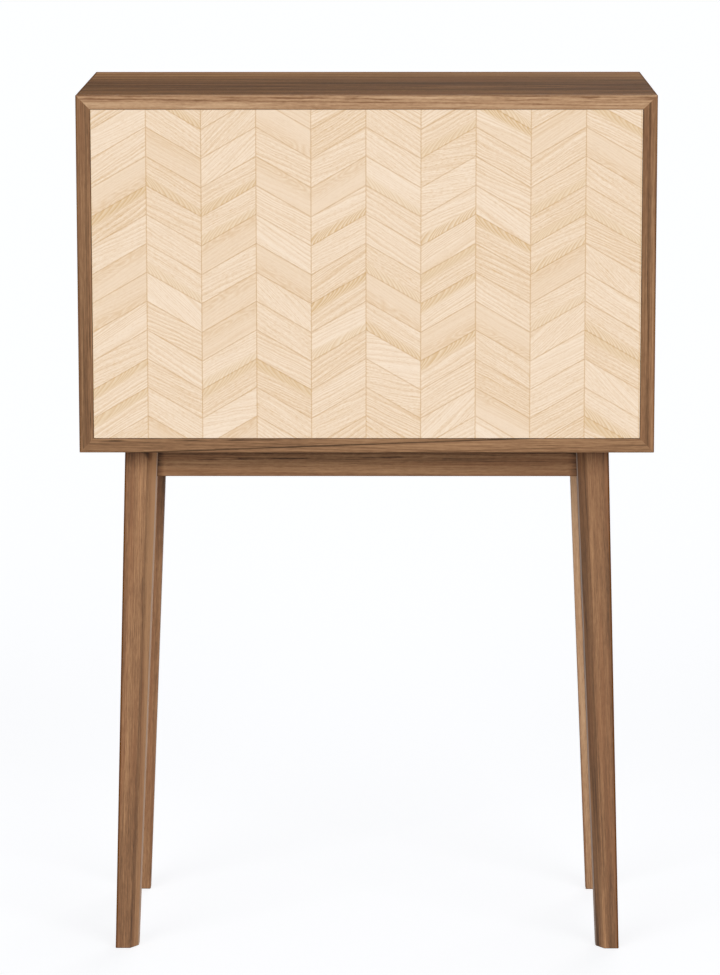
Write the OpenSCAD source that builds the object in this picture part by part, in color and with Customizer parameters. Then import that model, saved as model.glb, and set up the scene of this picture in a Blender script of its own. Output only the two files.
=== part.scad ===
// Drop-front bar cabinet on a tall splayed leg frame.
// A mitred walnut case holds one shelf behind a chevron-faced fall flap. The flap swings down
// on two concealed gooseneck hinges and is caught by two slotted stays, level with the case floor.
// X runs across the front, Y runs to the back, Z is up. The origin is the middle of the
// footprint at the floor.

/* [Case] */
// Width of the case over its side panels
case_w = 850; // [700:1:1000]
// Depth of the case, front face to back edge
case_d = 450; // [400:1:520]
// Height of the case over its top and bottom panels
case_h = 528.5; // [480:0.5:640]
// Thickness of the four case panels
board_t = 21; // [20.5:0.5:25]
// Depth of the solid strip glued to each panel's front edge
lip_t = 3; // [2:0.5:4]
// Softened arris on the outer edges of the case
outer_arris = 0.8; // [0.4:0.1:1.5]
// Softened arris on the inner front edge of the case
inner_arris = 0.3; // [0.2:0.1:0.4]

/* [Mitre keys] */
// Number of keys in each corner
key_count = 3; // [2:1:5]
// Length of a key along the corner
key_l = 50; // [30:1:70]
// Width of a key across the mitre
key_w = 16; // [10:1:18]
// Thickness of a key
key_t = 4; // [2:0.5:4]
// Share of the panel thickness between the outer corner and the key's middle
key_place = 0.6; // [0.55:0.01:0.65]

/* [Back panel] */
// Thickness of the back panel
back_t = 8; // [5:0.5:10]
// How far the back panel sits in from the back edges of the case
back_inset = 1; // [0.5:0.5:4]
// Width of the rebate that takes the back panel
rebate_w = 10; // [8:0.5:12]
// Screws along each long edge of the back panel
back_screw_count_x = 4; // [3:1:6]
// Screws along each short edge of the back panel
back_screw_count_z = 2; // [2:1:4]

/* [Shelf] */
// Clear height between the case floor and the shelf
shelf_up = 300; // [240:1:340]
// Thickness of the shelf
shelf_t = 18; // [12:0.5:22]
// How far the shelf's front edge is behind the closed flap
shelf_setback = 25; // [20:1:120]
// Radius of a shelf pin
pin_r = 2.5; // [2:0.25:3]
// How deep a shelf pin sits in the side panel
pin_depth = 9; // [6:0.5:12]
// How far the shelf pins stand from the shelf's front and back edges
pin_inset = 45; // [30:1:80]
// Step between the pin holes in the side panels
pin_step = 32; // [20:1:40]
// Pin holes above and below the shelf's own
pin_rows = 2; // [1:1:3]
// Softened arris on the shelf's front edge
shelf_arris = 0.5; // [0.3:0.1:1]

/* [Leg frame] */
// Height of the leg frame, floor to case
leg_h = 770; // [500:1:800]
// How far the legs' outer faces stand in from the case sides, at the case
leg_in_x = 64; // [50:0.5:90]
// How far the legs' outer faces stand in from the case front and back, at the case
leg_in_y = 59; // [50:0.5:90]
// How far each foot is splayed outwards from the leg's top
splay = 21.25; // [0:0.25:35]
// Section of a leg at the case
leg_top = 48.3; // [42:0.1:56]
// Section of a leg at the floor
leg_foot = 34.6; // [24:0.1:38]
// Width of the leg's long chamfer on its front, at the case
cut_face = 14.9; // [8:0.1:18]
// Width of the leg's long chamfer on its front, at the floor
cut_foot = 12.3; // [6:0.1:14]
// Depth of the leg's long chamfer along its inner side, at the case
cut_depth = 20; // [12:0.5:22]
// Softened arris along the leg's other long edges
leg_arris = 1; // [0.5:0.1:1.5]
// Softened arris round the sole of a leg
sole_arris = 1; // [0.5:0.1:2]
// Height of the four aprons
apron_h = 49; // [42:1:80]
// Thickness of the four aprons
apron_t = 20; // [16:0.5:22]
// Softened arris on the aprons' lower edges
apron_arris = 0.8; // [0.4:0.1:1.5]
// Radius of the dowels between aprons and legs
dowel_r = 4; // [3:0.5:4]
// Length of those dowels
dowel_l = 24; // [16:1:24]
// Run of a corner block along an apron
block_run = 60; // [50:1:75]
// Height of a corner block
block_h = 32; // [28:1:36]

/* [Flap] */
// Thickness of the flap, facing included
flap_t = 21.5; // [20.5:0.5:22.5]
// Width of the solid lipping round the flap's core
flap_lip = 12; // [8:1:16]
// Gap at each side of the flap
side_gap = 0.6; // [0.4:0.1:1.5]
// Gap above the flap
top_gap = 0.4; // [0.3:0.1:1.5]
// Gap below the flap
bottom_gap = 0.5; // [0.4:0.1:1]

/* [Chevron facing] */
// Thickness of the oak staves on the flap
stave_t = 4; // [2:0.5:6]
// Height of a stave, measured straight up
stave_pitch = 43.25; // [30:0.25:60]
// Slope of the staves
stave_slope = 30; // [20:1:45]
// Drop from the flap's top edge to the first joint at a peak
first_joint = 24.9; // [5:0.1:30]
// Width of the joint between two staves
stave_joint = 0.06; // [0.04:0.01:0.4]

/* [Hinges] */
// Distance of each hinge from the case's inner side face
hinge_in = 103.5; // [80:0.5:150]
// How far the hinge axis lies behind the front face
axis_back = 9.5; // [9:0.25:10]
// Radius of the hinge pin
hinge_pin_r = 2.5; // [2:0.1:2.75]
// Width of the hinge arm
arm_w = 17; // [12:0.5:22]
// Thickness of the hinge arm's neck
neck_t = 4; // [3.5:0.25:5]
// Thickness of the hinge arm's foot on the flap
arm_foot_t = 3; // [2.5:0.25:4]
// Height of the hinge arm above its axis
arm_up = 62; // [55:1:80]
// Distance of the hinge arm's outer screw from its end
arm_screw_in = 7; // [6:0.5:8]
// Step between the hinge arm's two screws
arm_screw_step = 14; // [10:0.5:16]
// Thickness of the cheeks that hold the hinge pin
cheek_t = 5; // [3:0.5:6]
// Reach of the hinge base's screw ears
ear_reach = 13; // [12:0.5:16]
// Thickness of those ears
ear_t = 2; // [1.5:0.25:2.5]

/* [Stays] */
// Distance from the hinge axis to both pivots of a stay
stay_r = 200; // [185:1:225]
// Rise of the line from the hinge axis to the fixed stud
stud_angle = 60; // [55:1:62]
// How far the stay's moving pivot stands off the flap
bracket_out = 13; // [11:0.5:18]
// Width of the stay arm
stay_w = 16; // [14:0.5:18]
// Thickness of the stay arm
stay_t = 3; // [2:0.25:3.25]
// Radius of the fixed stud
stud_r = 4; // [3:0.25:4.5]
// Radius of the moving pivot
rivet_r = 3; // [2.5:0.25:3.5]
// Thickness of the stud's wall plate
plate_t = 2.2; // [2:0.1:2.4]
// Thickness of the bracket's foot and ear
bracket_t = 3; // [2:0.25:4]

/* [Latch] */
// Travel of the latch plunger
latch_travel = 9; // [6:0.5:12]
// Radius of the latch plunger
plunger_r = 4; // [3:0.25:4.5]
// Length of the latch body
latch_l = 60; // [50:1:80]
// Width of the latch body
latch_w = 18; // [16:0.5:24]
// Height of the latch body
latch_h = 16; // [15:0.5:20]
// Radius of the peg that guides the plunger
peg_r = 1.25; // [1:0.25:2]
// Thickness of the strike plate on the flap
strike_t = 1.5; // [1:0.25:2.5]

/* [Fasteners] */
// Shank radius of the small screws
screw_r = 1.75; // [1.5:0.25:2]
// Head radius of the small screws
screw_head_r = 3.5; // [3:0.25:4]
// Length of the small screws
screw_l = 13; // [11:0.5:14]
// How far the back panel's screws go into the case
back_bite = 8; // [6:0.5:10]
// Shank radius of the frame screws
bolt_r = 2.5; // [2:0.25:3]
// Head radius of the frame screws
bolt_head_r = 4.5; // [4:0.25:5]

/* [Clearances] */
// Side room of a glued or let-in piece
fit_gap = 0.1; // [0.05:0.05:0.3]
// Radial room of a turning pin
pin_gap = 0.05; // [0.02:0.01:0.08]
// Room between parts that pass each other
pass_gap = 0.3; // [0.2:0.05:0.5]
// Room round the hinge arm in its base
arm_gap = 0.7; // [0.5:0.1:1]

/* [Hidden] */

walnut = [0.53, 0.40, 0.30];
walnut_pale = [0.68, 0.54, 0.41];
oak = [0.92, 0.82, 0.70];
beech = [0.80, 0.66, 0.50];
steel = [0.66, 0.66, 0.68];
zinc = [0.56, 0.57, 0.60];
nylon = [0.20, 0.20, 0.21];

left = 0;
right = 1;
front = 0;
rear = 1;

// How far a cutting form runs out past the face that it opens
through = 1;
// Depth left free under a screw or a pin
hole_ease = 0.5;
// Radial room of a pressed pin
press_gap = 0.02;

y_front = -case_d / 2;
y_back = case_d / 2;
z_case = leg_h;
z_top = z_case + case_h;
z_mid = z_case + case_h / 2;
z_floor = z_case + board_t;
z_ceiling = z_top - board_t;
inner_w = case_w - 2 * board_t;

rebate_d = back_t + back_inset;
back_face_y = y_back - back_inset;
back_w = inner_w + 2 * rebate_w - 2 * fit_gap;
back_h = z_ceiling - z_floor + 2 * rebate_w - 2 * fit_gap;

shelf_z = z_floor + shelf_up;
shelf_front = y_front + flap_t + shelf_setback;
shelf_back = y_back - rebate_d - pass_gap;
shelf_w = inner_w - 2;
tab_t = 2;
tab_bite = 1;
tab_rim = 2;
pin_drop = tab_t + pin_r - tab_bite;
back_screw_l = back_t + back_bite;

flap_w = inner_w - 2 * side_gap;
flap_top = z_ceiling - top_gap;
flap_bottom = z_floor + bottom_gap;
flap_h = flap_top - flap_bottom;
flap_inner_y = y_front + flap_t;

hinge_x = inner_w / 2 - hinge_in;
// The hinge axis lies so far down that the open flap is level with the case floor
axis_down = flap_t - axis_back;
axis_y = y_front + axis_back;
axis_z = z_floor - axis_down;
// The flap's lower edge is hollowed round the path of the case's front arris
hollow_flat = 0.05;
hollow_r = sqrt(pow(axis_back, 2) + pow(axis_down + bottom_gap, 2)) - hollow_flat;

columns = 10;
column_w = flap_w / columns;
stave_rise = column_w * tan(stave_slope);
joint_v = stave_joint / cos(stave_slope);

neck_gap = 1.5;
neck_back = axis_down + neck_gap + neck_t;
arm_leg_t = 5;
eye_r = 4.5;
pocket_w = arm_w + 2 * arm_gap;
pocket_back = sqrt(pow(neck_back, 2) + pow(arm_leg_t / 2, 2)) + arm_gap;
pocket_down = eye_r + arm_gap;
base_w = pocket_w + 2 * cheek_t;
base_wall = 1;
base_end = 2;
base_front = lip_t - axis_back;
base_back = pocket_back + base_end;
base_down = pocket_down + base_wall;
ear_mid = base_w / 2 + ear_reach / 2;
// A mortise's cutting form runs out past the board's face by so many times its side room
mortise_out = 10;

// The two pivots of a stay are equally far from the hinge axis, so the arm turns half as
// far as the flap does, at every angle
bracket_y = axis_down + bracket_out;
bracket_angle = acos(bracket_y / stay_r);
bracket_z = stay_r * sin(bracket_angle);
stud_y = stay_r * cos(stud_angle);
stud_z = stay_r * sin(stud_angle);
stay_angle = atan2(stud_z - bracket_z, stud_y - bracket_y);
reach_shut = 2 * stay_r * sin((bracket_angle - stud_angle) / 2);
reach_open = 2 * stay_r * sin((bracket_angle - stud_angle + 90) / 2);
slot_r = stud_r + pass_gap;
stay_l = reach_open + stay_w / 2;
stay_outer_x = inner_w / 2 - plate_t - pass_gap;
stay_inner_x = stay_outer_x - stay_t;
stud_cap_r = stud_r + 3;
cap_t = 2;
ear_rim = 4;
bracket_foot_w = 22;
bracket_foot_h = 44;

latch_z = z_ceiling - latch_h / 2;
tip_t = 1.2;
tip_rim = 1.5;
latch_front = flap_inner_y + strike_t + tip_t + pass_gap;
latch_wall = 2;
latch_ear = 10;
plunger_ease = 1;
plunger_end = latch_front + latch_l - latch_wall - plunger_ease;
peg_y = plunger_end - 3 * peg_r;

// Screws

module screw(len = screw_l, r = screw_r, head_r = screw_head_r) {
    head_h = head_r - r;
    difference() {
        union() {
            translate([0, 0, -len]) cylinder(h = len - head_h, r = r, $fn = 24);
            translate([0, 0, -head_h]) cylinder(h = head_h, r1 = r, r2 = head_r, $fn = 24);
        }
        for (turn = [0, 90])
            rotate([0, 0, turn]) cube([head_r, 0.2 * head_r, head_r / 2], center = true);
    }
}

module screw_hole(len = screw_l, r = screw_r, head_r = screw_head_r) {
    head_h = head_r - r;
    translate([0, 0, -len - hole_ease])
        cylinder(h = len + hole_ease, r = r + fit_gap / 2, $fn = 24);
    translate([0, 0, -head_h])
        cylinder(h = head_h + fit_gap, r1 = r + fit_gap / 2, r2 = head_r + 1.5 * fit_gap, $fn = 24);
}

// A screw or hole that drives along +X, -X, +Y, -Y, +Z or -Z
module drive(dir) {
    rotate(dir == "+x" ? [0, -90, 0] : dir == "-x" ? [0, 90, 0] :
           dir == "+y" ? [90, 0, 0] : dir == "-y" ? [-90, 0, 0] :
           dir == "+z" ? [180, 0, 0] : [0, 0, 0]) children();
}

module on_side(side) {
    mirror([side == left ? 1 : 0, 0, 0]) children();
}

module at_corner(side, end) {
    mirror([side == left ? 1 : 0, 0, 0]) mirror([0, end == rear ? 1 : 0, 0]) children();
}

// Extrudes an outline drawn in Y and Z along X
module along_x(from, len) {
    translate([from, 0, 0]) rotate([90, 0, 90]) linear_extrude(len) children();
}

// Extrudes an outline drawn in X and Z along Y
module along_y(from, len) {
    translate([0, from + len, 0]) rotate([90, 0, 0]) linear_extrude(len) children();
}

// Keeps what lies on the inner side of the plane through a point, where out points away from it
module cut_beyond(point, out) {
    size = 2 * case_w;
    flat = norm([out.x, out.y]);
    difference() {
        children();
        translate(point) rotate([0, atan2(flat, out.z), atan2(out.y, out.x)])
            translate([-size / 2, -size / 2, 0]) cube(size);
    }
}

// Case: four mitred panels and their solid front strips

module case_member(length, outline) {
    half = length / 2;
    c = outer_arris;
    intersection() {
        along_x(-half, length) polygon(outline);
        along_y(-case_d, 2 * case_d) polygon([
            [-half + c, 0], [half - c, 0], [half - c / 2, -c / 2], [half - board_t, -board_t],
            [-half + board_t, -board_t], [-half + c / 2, -c / 2]]);
    }
}

module panel_outline_member(length) {
    ledge = board_t - rebate_w;
    case_member(length, [
        [y_front + lip_t, 0], [y_back - outer_arris, 0], [y_back, -outer_arris],
        [y_back, -ledge], [y_back - rebate_d, -ledge], [y_back - rebate_d, -board_t],
        [y_front + lip_t, -board_t]]);
}

module lipping_member(length) {
    case_member(length, [
        [y_front, -outer_arris], [y_front + outer_arris, 0], [y_front + lip_t, 0],
        [y_front + lip_t, -board_t], [y_front + inner_arris, -board_t],
        [y_front, -board_t + inner_arris]]);
}

// The photographed top strip is cut from paler walnut than the other three
module lipping(place) {
    if (place == "top") color(walnut_pale) place_top() lipping_member(case_w);
    if (place == "bottom") color(walnut) place_bottom() lipping_member(case_w);
    if (place == "left") color(walnut) place_side(left) lipping_member(case_h);
    if (place == "right") color(walnut) place_side(right) lipping_member(case_h);
}

module place_top() { translate([0, 0, z_top]) children(); }
module place_bottom() { translate([0, 0, z_case]) mirror([0, 0, 1]) children(); }
module place_side(side) {
    on_side(side) translate([case_w / 2, 0, z_mid]) rotate([0, 90, 0]) children();
}

// Loose keys across the mitres

module mitre_key(room = 0) {
    arc_r = (pow(key_l / 2, 2) + pow(key_w / 2, 2)) / key_w;
    rotate([0, 45, 0]) intersection_for (way = [-1, 1])
        translate([way * (arc_r - key_w / 2), 0, -key_t / 2 - room])
            cylinder(h = key_t + 2 * room, r = arc_r + room, $fn = 96);
}

module at_mitre_keys() {
    in = key_place * board_t;
    span = case_d - lip_t - rebate_d - key_l - 2 * board_t;
    first = y_front + lip_t + board_t + key_l / 2;
    for (sx = [-1, 1], sz = [0, 1], i = [0 : key_count - 1])
        translate([sx * (case_w / 2 - in), first + i * span / (key_count - 1), z_mid])
            mirror([0, 0, sz]) translate([0, 0, case_h / 2 - in])
                mirror([sx < 0 ? 1 : 0, 0, 0]) children();
}

module mitre_keys() {
    color(beech) at_mitre_keys() mitre_key();
}

// Back panel, let into a rebate and screwed

module at_back_screws() {
    edge_x = inner_w / 2 + rebate_w / 2;
    edge_z = (z_ceiling - z_floor) / 2 + rebate_w / 2;
    translate([0, back_face_y, z_mid]) {
        for (sz = [-1, 1], i = [0 : back_screw_count_x - 1])
            translate([inner_w * (-0.45 + 0.9 * i / (back_screw_count_x - 1)), 0, sz * edge_z])
                drive("-y") children();
        for (sx = [-1, 1], i = [1 : back_screw_count_z])
            translate([sx * edge_x, 0, 2 * edge_z * (-0.5 + i / (back_screw_count_z + 1))])
                drive("-y") children();
    }
}

module back_panel() {
    color(walnut) difference() {
        translate([-back_w / 2, back_face_y - back_t, z_mid - back_h / 2])
            cube([back_w, back_t, back_h]);
        at_back_screws() screw_hole(back_screw_l);
    }
}

module back_panel_screws() {
    color(steel) at_back_screws() screw(back_screw_l);
}

// Shelf on four pins, which fit any row of holes

module at_pin_holes(rows) {
    for (sx = [0, 1], y = [shelf_front + pin_inset, shelf_back - pin_inset], row = rows)
        mirror([sx, 0, 0])
            translate([inner_w / 2, y, shelf_z - pin_drop + row * pin_step]) children();
}

module pin_holes() {
    at_pin_holes([-pin_rows : pin_rows]) rotate([0, 90, 0]) translate([0, 0, -through])
        cylinder(h = through + pin_depth + hole_ease, r = pin_r + pin_gap, $fn = 32);
}

module shelf_pins() {
    tab_l = 9;
    tab_w = 2 * (pin_r + tab_rim);
    collar_t = 1;
    color(steel) at_pin_holes([0]) {
        rotate([0, 90, 0]) translate([0, 0, -tab_l])
            cylinder(h = tab_l + pin_depth, r = pin_r, $fn = 32);
        rotate([0, 90, 0]) translate([0, 0, -collar_t])
            cylinder(h = collar_t, r = pin_drop - pass_gap, $fn = 32);
        translate([-tab_l, -tab_w / 2, pin_drop - tab_t]) cube([tab_l, tab_w, tab_t]);
    }
}

module shelf() {
    color(walnut) translate([-shelf_w / 2, shelf_front + lip_t, shelf_z])
        cube([shelf_w, shelf_back - shelf_front - lip_t, shelf_t]);
}

module shelf_lipping() {
    top = shelf_z + shelf_t;
    color(walnut) along_x(-shelf_w / 2, shelf_w) polygon([
        [shelf_front, shelf_z + shelf_arris], [shelf_front + shelf_arris, shelf_z],
        [shelf_front + lip_t, shelf_z], [shelf_front + lip_t, top],
        [shelf_front + shelf_arris, top], [shelf_front, top - shelf_arris]]);
}

module top_panel() {
    color(walnut) difference() {
        place_top() panel_outline_member(case_w);
        at_mitre_keys() mitre_key(fit_gap);
        at_back_screws() screw_hole(back_screw_l);
        at_latch_screws() screw_hole();
    }
}

module bottom_panel() {
    color(walnut) difference() {
        place_bottom() panel_outline_member(case_w);
        at_mitre_keys() mitre_key(fit_gap);
        at_back_screws() screw_hole(back_screw_l);
        for (side = [left, right]) at_hinge(side) hinge_block(fit_gap);
        at_hinge_base_screws() screw_hole();
        at_case_screws() frame_screw_hole(case_screw_l);
    }
}

module side_panel(side) {
    color(walnut) difference() {
        place_side(side) panel_outline_member(case_h);
        at_mitre_keys() mitre_key(fit_gap);
        at_back_screws() screw_hole(back_screw_l);
        pin_holes();
        at_stud_screws() screw_hole();
    }
}

// Leg frame: four tapered, splayed legs with one long chamfer each, joined by four aprons.
// Everything is drawn for the right front corner and mirrored to the others.

leg_out_x = case_w / 2 - leg_in_x;
leg_out_y = case_d / 2 - leg_in_y;
function mix(a, b, z) = a + (b - a) * (leg_h - z) / leg_h;
function outer_x(z) = mix(leg_out_x, leg_out_x + splay, z);
function inner_x(z) = mix(leg_out_x - leg_top, leg_out_x + splay - leg_foot, z);
function outer_y(z) = -mix(leg_out_y, leg_out_y + splay, z);
function inner_y(z) = -mix(leg_out_y - leg_top, leg_out_y + splay - leg_foot, z);
apron_low = leg_h - apron_h;
apron_face_x = leg_out_x - cut_depth;
apron_face_y = leg_out_y - cut_depth;

// Planes off the edge between two of its points
module break_edge(a, b, out, arris) {
    run = (a - b) / norm(a - b);
    flat = out - (out * run) * run;
    aim = flat / norm(flat);
    cut_beyond(a - aim * arris / sqrt(2), aim) children();
}

module leg_blank() {
    c = sole_arris;
    intersection() {
        along_y(-case_d, 2 * case_d) polygon([
            [inner_x(leg_h), leg_h], [outer_x(leg_h), leg_h], [outer_x(c), c],
            [outer_x(0) - c, 0], [inner_x(0) + c, 0], [inner_x(c), c]]);
        along_x(0, case_w) polygon([
            [outer_y(leg_h), leg_h], [inner_y(leg_h), leg_h], [inner_y(c), c],
            [inner_y(0) - c, 0], [outer_y(0) + c, 0], [outer_y(c), c]]);
    }
}

module leg_form() {
    on_face = [inner_x(leg_h) + cut_face, outer_y(leg_h), leg_h];
    on_side = [inner_x(leg_h), outer_y(leg_h) + cut_depth, leg_h];
    at_foot = [inner_x(0) + cut_foot, outer_y(0), 0];
    out = cross(on_side - on_face, at_foot - on_face);
    break_edge([outer_x(leg_h), outer_y(leg_h), leg_h], [outer_x(0), outer_y(0), 0], [1, -1, 0],
               leg_arris)
    break_edge([outer_x(leg_h), inner_y(leg_h), leg_h], [outer_x(0), inner_y(0), 0], [1, 1, 0],
               leg_arris)
    break_edge(at_foot, at_foot + cross(out, [0, 0, 1]), out / norm(out) - [0, 0, 1], sole_arris)
    cut_beyond(on_face, out)
        leg_blank();
}

module at_dowels() {
    for (z = [leg_h - 0.3 * apron_h, leg_h - 0.72 * apron_h]) {
        translate([inner_x(z), -apron_face_y + apron_t / 2, z]) rotate([0, 90, 0]) children();
        translate([apron_face_x - apron_t / 2, inner_y(z), z]) rotate([90, 0, 0]) children();
    }
}

module dowel(room = 0) {
    translate([0, 0, -dowel_l / 2 - room])
        cylinder(h = dowel_l + 2 * room, r = dowel_r + room / 2, $fn = 32);
}

module leg(side, end) {
    color(walnut) at_corner(side, end) difference() {
        leg_form();
        at_dowels() dowel(fit_gap);
    }
}

module apron_dowels() {
    color(beech) for (side = [left, right], end = [front, rear])
        at_corner(side, end) at_dowels() dowel();
}

// Section of an apron whose first face is at a given place
function rail_section(at) = [
    [at, leg_h], [at, apron_low + apron_arris], [at + apron_arris, apron_low],
    [at + apron_t - apron_arris, apron_low], [at + apron_t, apron_low + apron_arris],
    [at + apron_t, leg_h]];

module long_apron(end) {
    color(walnut) mirror([0, end == rear ? 1 : 0, 0]) difference() {
        intersection() {
            along_x(-case_w / 2, case_w) polygon(rail_section(-apron_face_y));
            along_y(-case_d / 2, case_d) polygon([
                [-inner_x(leg_h), leg_h], [inner_x(leg_h), leg_h],
                [inner_x(apron_low), apron_low], [-inner_x(apron_low), apron_low]]);
        }
        for (side = [left, right]) at_corner(side, front) {
            at_dowels() dowel(fit_gap);
            at_block_screws() frame_screw_hole(block_screw_l);
        }
    }
}

module short_apron(side) {
    color(walnut) on_side(side) difference() {
        intersection() {
            along_y(-case_d / 2, case_d) polygon(rail_section(apron_face_x - apron_t));
            along_x(0, case_w / 2) polygon([
                [inner_y(leg_h), leg_h], [-inner_y(leg_h), leg_h],
                [-inner_y(apron_low), apron_low], [inner_y(apron_low), apron_low]]);
        }
        for (end = [front, rear]) at_corner(right, end) {
            at_dowels() dowel(fit_gap);
            at_block_screws() frame_screw_hole(block_screw_l);
        }
    }
}

// Corner blocks, screwed to two aprons and up into the case

block_x = inner_x(leg_h) - pass_gap;
block_y = inner_y(leg_h) + pass_gap;
rail_x = apron_face_x - apron_t;
rail_y = -apron_face_y + apron_t;
block_seat = 9;
block_screw_l = block_seat + 0.6 * apron_t;
case_screw_l = block_h - block_seat + 0.55 * board_t;

module frame_screw_hole(len) {
    screw_hole(len, bolt_r, bolt_head_r);
    cylinder(h = block_run, r = bolt_head_r + pass_gap, $fn = 32);
}

module at_block_screws() {
    along = 0.45 * block_run;
    translate([block_x - along, rail_y + block_seat, leg_h - 0.3 * block_h])
        drive("-y") children();
    translate([rail_x - block_seat, block_y + along, leg_h - 0.7 * block_h])
        drive("+x") children();
}

module at_case_screws() {
    along = 0.2 * block_run;
    for (side = [left, right], end = [front, rear]) at_corner(side, end)
        translate([block_x - along, block_y + along, leg_h - block_h + block_seat])
            drive("+z") children();
}

module corner_block(side, end) {
    color(beech) difference() {
        at_corner(side, end) difference() {
            translate([0, 0, leg_h - block_h]) linear_extrude(block_h) polygon([
                [block_x, rail_y], [block_x - block_run, rail_y], [rail_x, block_y + block_run],
                [rail_x, block_y], [block_x, block_y]]);
            at_block_screws() frame_screw_hole(block_screw_l);
        }
        at_case_screws() frame_screw_hole(case_screw_l);
    }
}

module block_screws() {
    color(steel) for (side = [left, right], end = [front, rear])
        at_corner(side, end) at_block_screws() screw(block_screw_l, bolt_r, bolt_head_r);
}

module case_screws() {
    color(steel) at_case_screws() screw(case_screw_l, bolt_r, bolt_head_r);
}

// Flap: a core with a solid lipping, faced with chevron staves

module lower_edge_hollow() {
    translate([-case_w / 2, axis_y, axis_z]) rotate([0, 90, 0])
        cylinder(h = case_w, r = hollow_r, $fn = 96);
}

module flap_core() {
    color(oak) difference() {
        translate([-flap_w / 2 + flap_lip, y_front + stave_t, flap_bottom + flap_lip])
            cube([flap_w - 2 * flap_lip, flap_t - stave_t, flap_h - 2 * flap_lip]);
        at_flap_screws() screw_hole();
    }
}

// Long strips along the top and the bottom, and short ones between them
module flap_lipping() {
    deep = flap_t - stave_t;
    short = flap_h - 2 * flap_lip - 2 * fit_gap;
    color(oak) difference() {
        translate([0, y_front + stave_t, 0]) {
            for (z = [flap_bottom, flap_top - flap_lip])
                translate([-flap_w / 2, 0, z]) cube([flap_w, deep, flap_lip]);
            for (x = [-flap_w / 2, flap_w / 2 - flap_lip])
                translate([x, 0, flap_bottom + flap_lip + fit_gap]) cube([flap_lip, deep, short]);
        }
        lower_edge_hollow();
        at_flap_screws() screw_hole();
    }
}

// One column of parallel staves. Odd columns rise to the right and even ones to the left,
// and each stave is trimmed to the flap's edges.
module chevron_column(i) {
    x0 = -flap_w / 2 + (i - 1) * column_w;
    x1 = x0 + column_w;
    peak_x = i % 2 == 1 ? x1 : x0;
    g = stave_joint / 2;
    v = joint_v / 2;
    first = floor((-stave_rise - first_joint) / stave_pitch);
    last = ceil((flap_h - first_joint) / stave_pitch) - 1;
    function drop(x, k) = first_joint + k * stave_pitch + abs(x - peak_x) * tan(stave_slope);
    color(oak) difference() {
        intersection() {
            translate([x0, y_front, flap_bottom]) cube([column_w, stave_t, flap_h]);
            for (k = [first : last]) translate([0, 0, flap_top]) along_y(y_front, stave_t)
                polygon([
                    [x0 + g, -drop(x0 + g, k) - v], [x1 - g, -drop(x1 - g, k) - v],
                    [x1 - g, -drop(x1 - g, k + 1) + v], [x0 + g, -drop(x0 + g, k + 1) + v]]);
        }
        lower_edge_hollow();
    }
}

// Concealed gooseneck hinges. The arm leaves its pin to the back, so that it passes over the
// case's front edge when the flap is down.

module at_hinge(side) {
    on_side(side) translate([hinge_x, axis_y, axis_z]) children();
}

module at_hinge_base_screws() {
    for (side = [left, right], way = [-1, 1]) at_hinge(side)
        translate([way * ear_mid, (base_front + base_back) / 2, axis_down])
            children();
}

// With room at its sides the same form cuts the mortise, out past the board's faces
module hinge_block(room = 0) {
    half = base_w / 2 + room;
    ears = half + ear_reach;
    deep = base_back - base_front + 2 * room;
    proud = mortise_out * room;
    translate([-half, base_front - room, -base_down])
        cube([2 * half, deep, axis_down + base_down + proud]);
    translate([-ears, base_front - room, axis_down - ear_t])
        cube([2 * ears, deep, ear_t + proud]);
}

module hinge_base(side) {
    color(zinc) difference() {
        at_hinge(side) difference() {
            hinge_block();
            translate([-pocket_w / 2, -pocket_down, -pocket_down])
                cube([pocket_w, pocket_down + pocket_back, pocket_down + axis_down + through]);
            rotate([0, 90, 0])
                cylinder(h = 2 * base_w, r = hinge_pin_r + press_gap, center = true, $fn = 32);
        }
        at_hinge_base_screws() screw_hole();
    }
}

module hinge_base_screws() {
    color(steel) at_hinge_base_screws() screw();
}

module hinge_pins() {
    color(steel) for (side = [left, right]) at_hinge(side)
        rotate([0, 90, 0]) cylinder(h = base_w, r = hinge_pin_r, center = true, $fn = 32);
}

module hinge_arm(side) {
    inner = axis_down;
    neck_in = inner + neck_gap;
    leg = arm_leg_t / 2;
    bend = arm_leg_t;
    pad_ease = 2;
    pad_slope = 14;
    pad_low = inner + bottom_gap + neck_gap + pad_ease;
    pad_mid = pad_low + pad_slope;
    color(steel) difference() {
        at_hinge(side) difference() {
            union() {
                along_x(-arm_w / 2, arm_w) {
                    polygon([
                        [0, -leg], [neck_back - bend, -leg], [neck_back, bend - leg],
                        [neck_back, pad_mid], [inner + arm_foot_t, pad_mid + neck_t],
                        [inner + arm_foot_t, arm_up], [inner, arm_up], [inner, pad_low],
                        [neck_in, pad_low - neck_gap], [neck_in, leg], [0, leg]]);
                    translate([neck_back - bend, bend - leg]) intersection() {
                        circle(bend, $fn = 48);
                        translate([0, -bend]) square(bend);
                    }
                }
                rotate([0, 90, 0]) cylinder(h = arm_w, r = eye_r, center = true, $fn = 48);
            }
            rotate([0, 90, 0])
                cylinder(h = 2 * arm_w, r = hinge_pin_r + pin_gap, center = true, $fn = 32);
        }
        at_arm_screws() screw_hole();
    }
}

module at_arm_screws() {
    for (side = [left, right], i = [0, 1]) at_hinge(side)
        translate([0, axis_down + arm_foot_t, arm_up - arm_screw_in - i * arm_screw_step])
            drive("-y") children();
}

// Slotted stays: a stud on the case side, an arm, and a bracket on the flap

module at_stud(side) {
    on_side(side) translate([inner_w / 2, axis_y + stud_y, axis_z + stud_z]) children();
}

module at_stud_screws() {
    for (side = [left, right], way = [-1, 1]) at_stud(side)
        translate([-plate_t, 0, way * (stud_cap_r + screw_head_r)]) drive("+x") children();
}

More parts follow.
